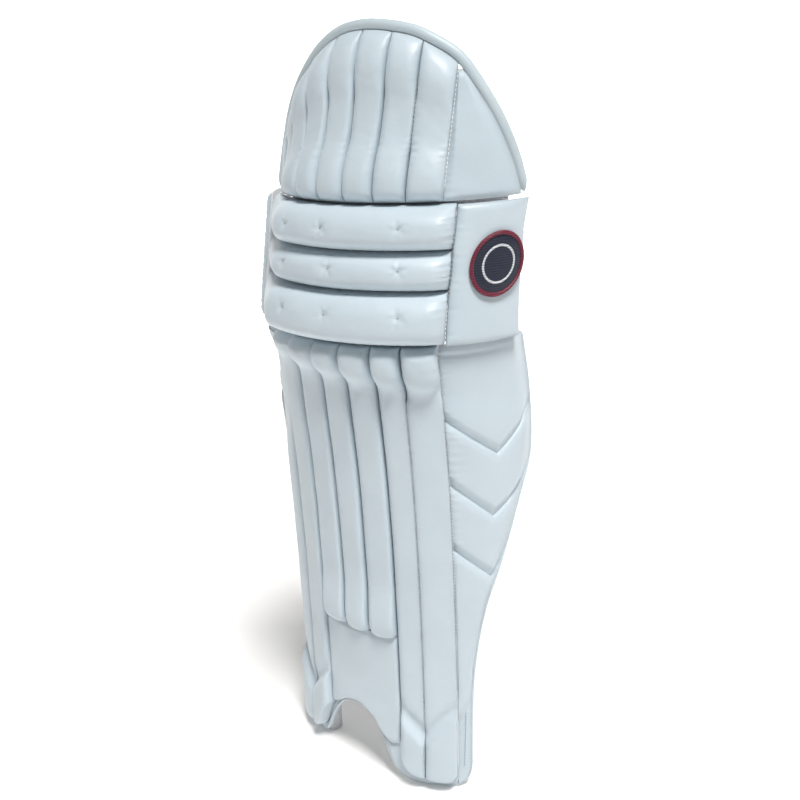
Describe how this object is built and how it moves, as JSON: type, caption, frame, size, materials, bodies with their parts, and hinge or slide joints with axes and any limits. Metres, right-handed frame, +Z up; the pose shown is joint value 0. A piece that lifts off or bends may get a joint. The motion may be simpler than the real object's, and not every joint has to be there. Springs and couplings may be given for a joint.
{
  "type": "cricket leg pad",
  "caption": "Batting leg pad with vertical shin bolsters, three knee rolls, a hinged thigh flap, side wings and wrap-round leg straps.",
  "frame": {"origin": "middle of the bounding box in plan, on the surface that the ankle lobes stand on", "axes": "+Z up the shin, +Y back towards the wearer's leg, +X to the pad's outer side, where the badge is"},
  "size_m": [0.2832, 0.1908, 0.6921],
  "materials": {
    "cover": "soft satin coated leather",
    "piping": "satin",
    "lining": "brushed knit",
    "board": "matt",
    "cane": "bare cane",
    "webbing": "woven",
    "hook_and_loop": "napped",
    "badge": "satin"
  },
  "bodies": {
    "shin_guard": {"shin_backing": "board", "shin_bolster_1": "cover", "shin_bolster_2": "cover", "shin_bolster_3": "cover", "shin_bolster_4": "cover", "shin_bolster_5": "cover", "shin_bolster_6": "cover", "shin_bolster_7": "cover", "shin_cane_1": "cane", "shin_cane_2": "cane", "shin_cane_3": "cane", "shin_cane_4": "cane", "shin_cane_5": "cane", "shin_cane_6": "cane", "shin_cane_7": "cane", "instep_panel": "cover", "outer_calf_wing": "cover", "inner_calf_wing": "cover", "lower_binding": "piping", "shin_liner_centre": "lining", "shin_liner_inner": "lining", "shin_liner_outer": "lining", "ankle_pad_inner": "lining", "ankle_pad_outer": "lining", "ankle_hook_patch": "hook_and_loop", "ankle_strap_anchor": "webbing", "calf_hook_patch": "hook_and_loop", "calf_strap_anchor": "webbing"},
    "knee_section": {"knee_backing": "board", "knee_roll_lower": "cover", "knee_roll_middle": "cover", "knee_roll_upper": "cover", "outer_knee_wing": "cover", "inner_knee_wing": "cover", "badge": "badge", "knee_cup_inner": "lining", "knee_cup_outer": "lining", "knee_hook_patch": "hook_and_loop", "knee_strap_anchor": "webbing"},
    "top_hat": {"thigh_backing": "board", "thigh_bolster_1": "cover", "thigh_bolster_2": "cover", "thigh_bolster_3": "cover", "thigh_bolster_4": "cover", "thigh_bolster_5": "cover", "thigh_bolster_6": "cover", "thigh_bolster_7": "cover", "outer_top_wing": "cover", "inner_top_wing": "cover", "top_binding": "piping", "thigh_liner": "lining"},
    "ankle_strap": {"ankle_strap_web": "webbing", "ankle_strap_tab": "hook_and_loop"},
    "calf_strap": {"calf_strap_web": "webbing", "calf_strap_cushion": "lining", "calf_strap_tab": "hook_and_loop"},
    "knee_strap": {"knee_strap_web": "webbing", "knee_strap_cushion": "lining", "knee_strap_tab": "hook_and_loop"}
  },
  "joints": [
    {"name": "knee_flex", "type": "hinge", "parent": "shin_guard", "child": "knee_section", "pos_m": [-0.0024, -0.036, 0.441], "axis": [-1, 0, 0], "range_deg": [0, 18], "stiffness_Nm_per_rad": 2, "springref_deg": -11.46},
    {"name": "top_flap_flex", "type": "hinge", "parent": "knee_section", "child": "top_hat", "pos_m": [-0.0024, -0.013, 0.552], "axis": [-1, 0, 0], "range_deg": [0, 18], "stiffness_Nm_per_rad": 1.5, "springref_deg": -8.59},
    {"name": "ankle_strap_swing", "type": "hinge", "parent": "shin_guard", "child": "ankle_strap", "pos_m": [-0.11017, -0.01532, 0.15], "axis": [0, 0, 1], "range_deg": [0, 105]},
    {"name": "calf_strap_swing", "type": "hinge", "parent": "shin_guard", "child": "calf_strap", "pos_m": [-0.12816, 0.01979, 0.33], "axis": [0, 0, 1], "range_deg": [0, 105]},
    {"name": "knee_strap_swing", "type": "hinge", "parent": "knee_section", "child": "knee_strap", "pos_m": [-0.1293, 0.02327, 0.5], "axis": [0, 0, 1], "range_deg": [0, 80]}
  ]
}
